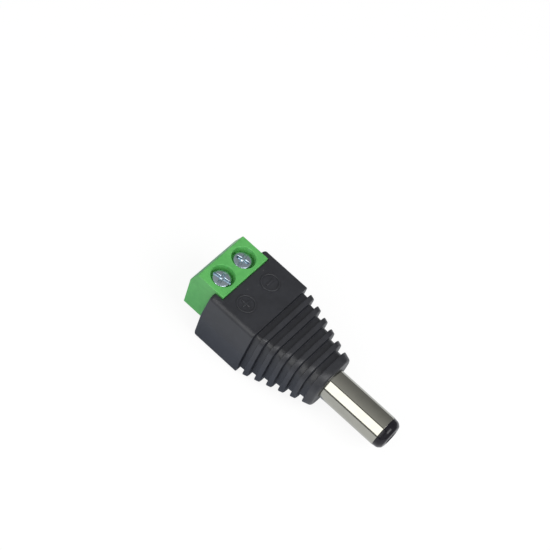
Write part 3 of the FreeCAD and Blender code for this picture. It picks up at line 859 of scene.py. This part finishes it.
@dataclass
class ClampScrew:
    """A clamp screw: domed head with a cross and slot recess, and a threaded shank."""

    pole: Pole
    x: float = -22.9
    seat: float = 4.615
    head_r: float = 1.6
    head_edge: float = 0.9
    head_h: float = 1.03
    rim_round: float = 0.24
    seat_round: float = 0.1
    dome_shares: tuple[float, ...] = (0.72, 0.54, 0.4, 0.27, 0.13, 0.0)
    slot_w: float = 0.46
    slot_deep: float = 0.5
    slot_floor: float = 0.82
    slot_mouth: float = 1.45
    slot_bend: float = 0.75
    flare_deep: float = 0.1
    flare_past: float = 0.02
    cross_len: float = 2.3
    cross_floor: float = 0.72
    pit_r: float = 0.5
    pit_deep: float = 0.85
    pit_share: float = 0.8
    pit_rise: float = 0.1
    shank_end: float = 0.865
    shank_round: float = 0.15
    neck_round: float = 0.05
    core_r: float = 1.02
    crest_r: float = 1.145
    root_sunk: float = 0.06
    root_half: float = 0.2
    crest_half: float = 0.05
    pitch: float = 0.45
    lead_in: float = 0.7
    run_out: float = 0.3
    turn_steps: int = 36

    @property
    def centre(self) -> Vector:
        """Point on the screw's axis, at height 0."""
        return Vector((self.x, self.pole.y, 0))

    @property
    def top(self) -> float:
        """Height of the head's highest point."""
        return self.seat + self.head_h

    def head(self) -> Form:
        """Head and plain core of the shank."""
        rise = self.head_h - self.head_edge
        dome_r = (self.head_r ** 2 + rise ** 2) / (2 * rise)
        corners: list[Corner] = [
            (self.shank_end, 0.0, 0.0), (self.shank_end, self.core_r, self.shank_round),
            (self.seat, self.core_r, self.neck_round), (self.seat, self.head_r, self.seat_round),
            (self.seat + self.head_edge, self.head_r, self.rim_round)]
        for share in self.dome_shares:
            r = self.head_r * share
            corners.append((self.top - dome_r + math.sqrt(dome_r ** 2 - r ** 2), r, 0.0))
        return Form.lathe(rounded(corners, steps=5), Z_AXIS, self.centre, steps=80)

    def thread(self) -> Form:
        """Ridge of the thread, as a helix round the core."""
        form = Form()
        start = self.shank_end + self.pitch * self.lead_in
        turns = int((self.seat - self.run_out - start) / self.pitch)
        root_r = self.core_r - self.root_sunk
        tooth = [(root_r, -self.root_half), (self.crest_r, -self.crest_half),
                 (self.crest_r, self.crest_half), (root_r, self.root_half)]
        verts = [form.bm.verts.new((self.x + r, self.pole.y, start + z)) for r, z in tooth]
        edges = [form.bm.edges.new(pair) for pair in zip(verts, verts[1:] + verts[:1])]
        last = bmesh.ops.spin(
            form.bm, geom=verts + edges, cent=self.centre, axis=Z_AXIS, angle=math.tau * turns,
            dvec=(0, 0, self.pitch / self.turn_steps), steps=self.turn_steps * turns,
            use_merge=False, use_duplicate=False)["geom_last"]
        bmesh.ops.contextual_create(form.bm, geom=verts)
        bmesh.ops.contextual_create(form.bm, geom=[v for v in last if isinstance(v, bmesh.types.BMVert)])
        return form.tidy()

    def groove(self, floor_half: float, top_half: float) -> Form:
        """Cutter of one groove of the recess, flared at its rim.

        Args:
            floor_half: Half its length at its floor.
            top_half: Half its length at the top.

        Returns:
            The cutter, along X.
        """
        half = self.slot_w / 2
        levels = [(self.top - self.slot_deep, 0.0, self.slot_floor * half),
                  (self.top - self.flare_deep, self.slot_bend, half),
                  (self.top + self.flare_past, 1.0, self.slot_mouth * half),
                  (self.top + PAST, 1.0, self.slot_mouth * half)]
        loops = []
        for z, share, side in levels:
            reach = floor_half + share * (top_half - floor_half)
            loops.append([Vector((self.x + sx * reach, self.pole.y + sy * side, z))
                          for sx, sy in ((-1, -1), (1, -1), (1, 1), (-1, 1))])
        return Form.loft(loops)

    def pit(self) -> Form:
        """Cutter of the recess's pointed middle."""
        past = self.top + PAST / 2
        outline = [(self.top - self.pit_deep, 0.0),
                   (self.top - self.slot_deep + self.pit_rise, self.pit_r * self.pit_share),
                   (past, self.pit_r), (past, 0.0)]
        return Form.lathe(outline, Z_AXIS, self.centre, steps=24)

    def build(self) -> None:
        """Makes the screw."""
        reach = self.cross_len / 2
        screw = self.head()
        slot = self.groove(2 * self.head_r, 2 * self.head_r)
        cross = self.groove(self.cross_floor * reach, reach).turn(90, self.centre)
        screw.cut(slot, cross, self.pit())
        screw.join(self.thread())
        screw.turn(self.pole.turn_deg, self.centre)
        screw.finish("clamp_screw_zinc_" + self.pole.label, self.pole.screw, ZINC, "zinc_steel",
                     ["clamp_screw_" + self.pole.label])


@dataclass
class ClampCage:
    """A rising cage: bent plate with a window for the wire and a tapped collar on top."""

    pole: Pole
    x: float = -22.9
    length: float = 3.2
    width: float = 3.8
    low: float = -2.095
    high: float = 1.995
    window: Span = (-1.495, 0.845)
    window_half: float = 1.35
    window_round: float = 0.12
    corner_r: float = 0.3
    edge_r: float = 0.07
    hole_r: float = 1.16
    hole_flare: float = 0.12

    def rim(self, middle: Vector, direction: Vector) -> bool:
        """Picks the edges round the cage's top and bottom."""
        away = min(abs(middle.z - self.low), abs(middle.z - self.high))
        return away < LEVEL and not runs_along(Z_AXIS)(middle, direction)

    def build(self) -> None:
        """Makes the cage."""
        y = self.pole.y
        half_x, half_y = self.length / 2, self.width / 2
        cage = Form.block((self.x - half_x, y - half_y, self.low),
                          (self.x + half_x, y + half_y, self.high))
        cage.bevel(self.corner_r, segments=5, pick=runs_along(Z_AXIS))
        cage.bevel(self.edge_r, segments=2, pick=self.rim)
        window = Form.block((self.x - self.length, y - self.window_half, self.window[0]),
                            (self.x + self.length, y + self.window_half, self.window[1]))
        window.bevel(self.window_round, segments=3, pick=runs_along(X_AXIS))
        roof, flare = self.window[1], self.hole_flare
        under, over, wide = roof - PAST / 2, self.high + PAST / 2, self.hole_r + flare
        outline = [(under, 0.0), (under, wide), (roof, wide), (roof + flare, self.hole_r),
                   (self.high - flare, self.hole_r), (self.high, wide), (over, wide), (over, 0.0)]
        hole = Form.lathe(outline, Z_AXIS, Vector((self.x, y, 0)), steps=64)
        cage.cut(window, hole)
        cage.finish("clamp_cage_nickel_" + self.pole.label, self.pole.cage, CAGE_NICKEL, "cage_plating",
                    ["clamp_cage_" + self.pole.label])


@dataclass
class Barrel:
    """The barrel: plated sleeve, its black tip and the centre contact."""

    seat: SleeveSeat = SleeveSeat()
    length: float = 11.2
    bore_r: float = 2.45
    edge_r: float = 0.05
    tip_x: float = 12.75
    tip_r: float = 2.7
    tip_edge: float = 0.04
    tip_bend: Corner = (12.08, 2.6, 0.9)
    tip_shoulder: Corner = (12.62, 2.15, 0.6)
    face_rim: Span = (1.6, 0.3)
    hole_r: float = 1.25
    hole_round: float = 0.08
    liner_x: float = -1.5
    liner_r: float = 2.43
    liner_bore_r: float = 1.63
    socket_r: float = 1.05
    socket_outer: float = 1.43
    socket_mouth: float = 11.0
    socket_end: float = 0.8
    mouth_round: float = 0.2
    mouth_lead: float = 0.12
    collar_x: Span = (-1.5, 0.3)
    collar_r: float = 1.61
    shank_x: float = -6.7
    shank_r: float = 1.0
    tail_x: Span = (-9.4, -6.6)
    tail_half: Span = (0.95, 0.35)
    tail_round: float = 0.08
    eyelet_x: float = -8.2
    eyelet_r: float = 0.48
    saw_cut: float = 0.35
    saw_cut_end: float = 3.0

    def sleeve(self) -> None:
        """Makes the plated sleeve with its shoulder, flange and spigot."""
        seat, edge = self.seat, self.edge_r
        corners = [(seat.spigot_x, self.bore_r, 0.0), (seat.spigot_x, seat.outer_r, 0.0),
                   (seat.flange_rear, seat.outer_r, 0.0), (seat.flange_rear, seat.flange_r, edge),
                   (seat.flange_front, seat.flange_r, edge), (seat.flange_front, seat.shoulder_r, 0.0),
                   (seat.shoulder_x, seat.shoulder_r, edge), (seat.shoulder_x, seat.outer_r, 0.0),
                   (self.length, seat.outer_r, edge), (self.length, self.bore_r, 0.0)]
        outline = rounded(corners, steps=3, closed=True)
        sleeve = Form.lathe(outline, X_AXIS, Vector(), steps=160, closed=True)
        sleeve.finish("barrel_nickel_sleeve", Body.PLUG, NICKEL, "bright_nickel", ["barrel_sleeve"])

    def tip(self) -> None:
        """Makes the insulator with its rounded black head."""
        corners = [(self.liner_x, self.liner_bore_r, 0.0), (self.liner_x, self.liner_r, 0.0),
                   (self.length, self.liner_r, 0.0), (self.length, self.tip_r, self.tip_edge),
                   self.tip_bend, self.tip_shoulder, (self.tip_x, *self.face_rim),
                   (self.tip_x, self.hole_r, self.hole_round), (self.length, self.hole_r, 0.0),
                   (self.length, self.liner_bore_r, 0.0)]
        outline = rounded(corners, steps=10, closed=True)
        tip = Form.lathe(outline, X_AXIS, Vector(), steps=128, closed=True)
        tip.finish("tip_black_insulator", Body.PLUG, TIP_BLACK, "black_tip", ["tip_insulator"])

    def contact(self) -> None:
        """Makes the turned contact with its saw-cut mouth, shank and flat tail with an eyelet."""
        (rear, front), edge = self.collar_x, self.edge_r
        corners = [(self.shank_x, 0.0, 0.0), (self.shank_x, self.shank_r, 0.0), (rear, self.shank_r, 0.0),
                   (rear, self.collar_r, edge), (front, self.collar_r, edge),
                   (front, self.socket_outer, 0.0),
                   (self.socket_mouth, self.socket_outer, self.mouth_round),
                   (self.socket_mouth, self.socket_r, self.mouth_lead),
                   (self.socket_end, self.socket_r, 0.0), (self.socket_end, 0.0, 0.0)]
        contact = Form.lathe(rounded(corners, steps=4), X_AXIS, Vector(), steps=80)
        half, wide = self.saw_cut / 2, self.seat.outer_r
        contact.cut(Form.block((self.saw_cut_end, -wide, -half), (self.tip_x, wide, half)))
        (rear, front), (half_w, half_t) = self.tail_x, self.tail_half
        tail = Form.block((rear, -half_w, -half_t), (front, half_w, half_t))
        tail.bevel(self.tail_round, segments=2)
        contact.join(tail)
        eyelet = [(-PAST, 0.0), (-PAST, self.eyelet_r), (PAST, self.eyelet_r), (PAST, 0.0)]
        contact.cut(Form.lathe(eyelet, Z_AXIS, Vector((self.eyelet_x, 0, 0)), steps=32))
        contact.finish("centre_socket_contact", Body.PLUG, CONTACT, "contact_plating", ["centre_contact"])

    def build(self) -> None:
        """Makes the three pieces."""
        self.sleeve()
        self.tip()
        self.contact()


@dataclass
class InnerParts:
    """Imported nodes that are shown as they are, each with its finish."""

    single: dict[str, Finish] = field(
        default_factory=lambda: {"rear_bush": BUSH_PALE, "sleeve_tag": TIN})
    paired: dict[str, Finish] = field(
        default_factory=lambda: {"contact_bar": TIN, "link_wire": COPPER, "pin_solder": SOLDER,
                                 "tag_solder": SOLDER})

    def build(self) -> None:
        """Gives each node its finish."""
        finishes = dict(self.single)
        for part, finish in self.paired.items():
            finishes.update({part + "_" + pole.label: finish for pole in Pole})
        for node, finish in finishes.items():
            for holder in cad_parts[node].material_slots:
                holder.material = finish.material()
            LOG.info("%s is finished as %s", node, finish.name)


@dataclass
class Softbox:
    """A rectangular lamp that is aimed at the object."""

    name: str
    towards: Vector
    distance: float
    along: float
    across: float
    radiance: float
    colour: Colour = (1.0, 1.0, 1.0)
    aim: Vector = field(default_factory=lambda: Vector((-7.0, 0.0, 0.0)))
    frame_w: float = 0.0
    frame_lift: float = 0.5
    frame_grey: float = 0.02

    def stand(self) -> Matrix:
        """Place of the lamp, its long side along X as nearly as it can be."""
        back = self.towards.normalized()
        side = (X_AXIS - back * back.x).normalized()
        turn = Matrix((side, back.cross(side), back)).transposed().to_4x4()
        return Matrix.Translation((self.aim + back * self.distance) * MM) @ turn

    def build(self) -> None:
        """Makes the lamp, and the black frame round it if it has one."""
        lamp = bpy.data.lights.new(self.name, "AREA")
        lamp.shape = "RECTANGLE"
        lamp.size = self.along * MM
        lamp.size_y = self.across * MM
        lamp.color = self.colour
        lamp.energy = self.radiance * math.pi * lamp.size * lamp.size_y
        put(self.name, lamp, self.stand()).visible_camera = False
        if self.frame_w:
            self.build_frame()

    def build_frame(self) -> None:
        """Makes the black frame, which only reflections show."""
        bm = bmesh.new()
        bmesh.ops.create_grid(bm, x_segments=1, y_segments=1, size=0.5)
        outer = Vector((self.along, self.across, 1)) + Vector((2, 2, 0)) * self.frame_w
        bmesh.ops.scale(bm, vec=outer, verts=bm.verts)
        bmesh.ops.inset_region(bm, faces=list(bm.faces), thickness=self.frame_w, use_boundary=True)
        opening = min(bm.faces, key=lambda face: face.calc_center_median().length)
        bmesh.ops.delete(bm, geom=[opening], context="FACES")
        bmesh.ops.scale(bm, vec=(MM,) * 3, verts=bm.verts)
        mesh = bpy.data.meshes.new(self.name + "_frame")
        bm.to_mesh(mesh)
        bm.free()
        black = bpy.data.materials.new("frame_black")
        graph = Graph(black)
        graph.surface(graph.plain("Emission", (self.frame_grey,) * 3, Strength=1.0))
        mesh.materials.append(black)
        lift = Matrix.Translation((0, 0, self.frame_lift * MM))
        shown = put(self.name + "_frame", mesh, self.stand() @ lift)
        shown.visible_camera = False
        shown.visible_diffuse = False
        shown.visible_shadow = False


@dataclass
class Studio:
    """Pale floor, soft lamps and the surroundings."""

    floor_z: float = -5.96
    floor_half: float = 1500.0
    near_floor: Colour = (0.52, 0.57, 0.68)
    far_floor: Colour = (0.08, 0.08, 0.09)
    floor_fade: Span = (60.0, 120.0)
    # Painted shade in what reflections show of the floor. The first span is the share of white that
    # glossy rays see, rising from the object's outline outwards. The next three give the outline's
    # half-width, the X span over which that half-width tapers, and the width of the fade.
    painted_shade_gloss_span: Span = (0.0, 0.72)
    painted_shade_half: Span = (6.5, -8.0)
    painted_shade_x: Span = (-3.0, 3.0)
    painted_shade_edge: Span = (3.4, 6.4)
    shown_grey: float = 0.16
    shown_glow: float = 0.87
    fade: Span = (70.0, 260.0)
    room_bright: Colour = (0.62, 0.62, 0.61)
    room_dim: Colour = (0.25, 0.25, 0.25)
    band_deg: float = 53.0

    def floor(self) -> None:
        """Makes the floor. It is white to the camera but for the object's shadow, and reflections show it
        darker near the object's outline as painted shade.
        """
        bm = bmesh.new()
        bmesh.ops.create_grid(bm, x_segments=1, y_segments=1, size=self.floor_half * MM,
                              matrix=Matrix.Translation((0, 0, self.floor_z * MM)))
        mesh = bpy.data.meshes.new("floor")
        bm.to_mesh(mesh)
        bm.free()
        pale = bpy.data.materials.new("floor_white")
        graph = Graph(pale)
        reach = graph.node("ShaderNodeVectorMath", {"operation": "LENGTH"}, {0: graph.place()},
                           output="Value")
        away = graph.spread(reach, self.floor_fade)
        lit = graph.mix(away, *(graph.plain("BsdfDiffuse", colour)
                                for colour in (self.near_floor, self.far_floor)))
        shown = graph.plain("BsdfDiffuse", (self.shown_grey,) * 3)
        glow = graph.plain("Emission", WHITE, Strength=self.shown_glow)
        near = graph.node("ShaderNodeAddShader", None, {0: shown, 1: glow})
        far = graph.plain("Emission", WHITE, Strength=1.0)
        white = graph.mix(graph.spread(reach, self.fade), near, far)
        # Near the object's outline, glossy rays see the lit floor with its real shadow instead of the
        # white. How the white falls off towards the outline is painted shade.
        aside = graph.node("ShaderNodeMath", {"operation": "ABSOLUTE"},
                           {0: graph.axis(graph.place(), "Y")})
        half = graph.spread(graph.axis(graph.place(), "X"), self.painted_shade_x, self.painted_shade_half)
        gloss = graph.spread(aside - half, self.painted_shade_edge, self.painted_shade_gloss_span)
        graph.surface(graph.mix(self.seen(graph, (1 - away) * gloss), lit, white))
        mesh.materials.append(pale)
        put("floor", mesh)

    def seen(self, graph: Graph, gloss: Socket) -> Socket:
        """Share of the white floor that a ray sees.

        Args:
            graph: The floor's node tree.
            gloss: The share for glossy rays, low near the object's outline as painted shade; camera and
                transmission rays see all of it.

        Returns:
            The share.
        """
        rays = [graph.node("ShaderNodeLightPath", output=name)
                for name in ("Is Camera Ray", "Is Glossy Ray", "Is Transmission Ray")]
        return rays[0] | rays[1] * gloss | rays[2]

    def world(self) -> None:
        """Sets the surroundings: white to the camera, a grey studio to everything else."""
        world = bpy.data.worlds.new("studio")
        bpy.context.scene.world = world
        graph = Graph(world)
        white, bright, dim = (graph.plain("Background", colour, Strength=1.0)
                              for colour in (WHITE, self.room_bright, self.room_dim))
        across = graph.axis(graph.node("ShaderNodeTexCoord", output="Object"), "Y")
        room = graph.mix(across * 0.5 + 0.5, bright, dim)
        camera = graph.node("ShaderNodeLightPath", output="Is Camera Ray")
        graph.surface(graph.mix(camera, room, white), "ShaderNodeOutputWorld")

    def lamps(self) -> None:
        """Makes the lamps."""
        lean = math.radians(self.band_deg)
        Softbox("side_softbox", Vector((0.0, -math.sin(lean), math.cos(lean))), distance=300.0,
                along=120.0, across=340.0, radiance=2.0, colour=(1.0, 1.0, 0.99),
                aim=Vector((-18.0, 0.0, 0.0)), frame_w=42.0).build()
        Softbox("key_softbox", Vector((0.62, -0.04, 0.78)), distance=420.0,
                along=270.0, across=270.0, radiance=3.5).build()
        Softbox("left_softbox", Vector((-0.19, -0.37, 0.91)), distance=420.0,
                along=44.0, across=120.0, radiance=6.0, aim=Vector((-22.0, 0.0, 5.6))).build()

    def build(self) -> None:
        """Makes the studio and leaves the colours as they are written."""
        bpy.context.scene.view_settings.view_transform = "Standard"
        self.floor()
        self.world()
        self.lamps()
        LOG.info("studio is set")


@dataclass
class Viewpoint:
    """The camera, where the photograph was taken from."""

    place: Vector = field(default_factory=lambda: Vector((32.87, -156.98, 250.18)))
    right: Vector = field(default_factory=lambda: Vector((0.7333, 0.6272, 0.2625)))
    out: Vector = field(default_factory=lambda: Vector((0.1699, -0.5429, 0.8225)))
    focal_px: float = 1893.5
    width_px: float = 550.0
    sensor: float = 36.0
    clip: Span = (0.01, 10.0)

    def build(self) -> None:
        """Makes the camera."""
        out = self.out.normalized()
        up = out.cross(self.right).normalized()
        right = up.cross(out)
        camera = bpy.data.cameras.new("camera")
        camera.sensor_width = self.sensor
        camera.lens = self.focal_px * self.sensor / self.width_px
        camera.clip_start, camera.clip_end = self.clip
        turn = Matrix((right, up, out)).transposed().to_4x4()
        stand = Matrix.Translation(self.place * MM) @ turn
        bpy.context.scene.camera = put("camera", camera, stand)
        LOG.info("camera with a %.1f mm lens", camera.lens)


def main() -> None:
    """Builds the studio and every piece in order."""
    logging.basicConfig(level=logging.INFO, format="%(message)s")
    Viewpoint().build()
    Studio().build()
    Housing().build()
    PoleMarks().build()
    TerminalBlock().build()
    for pole in Pole:
        ClampScrew(pole).build()
        ClampCage(pole).build()
    Barrel().build()
    InnerParts().build()


if __name__ == "__main__":
    main()
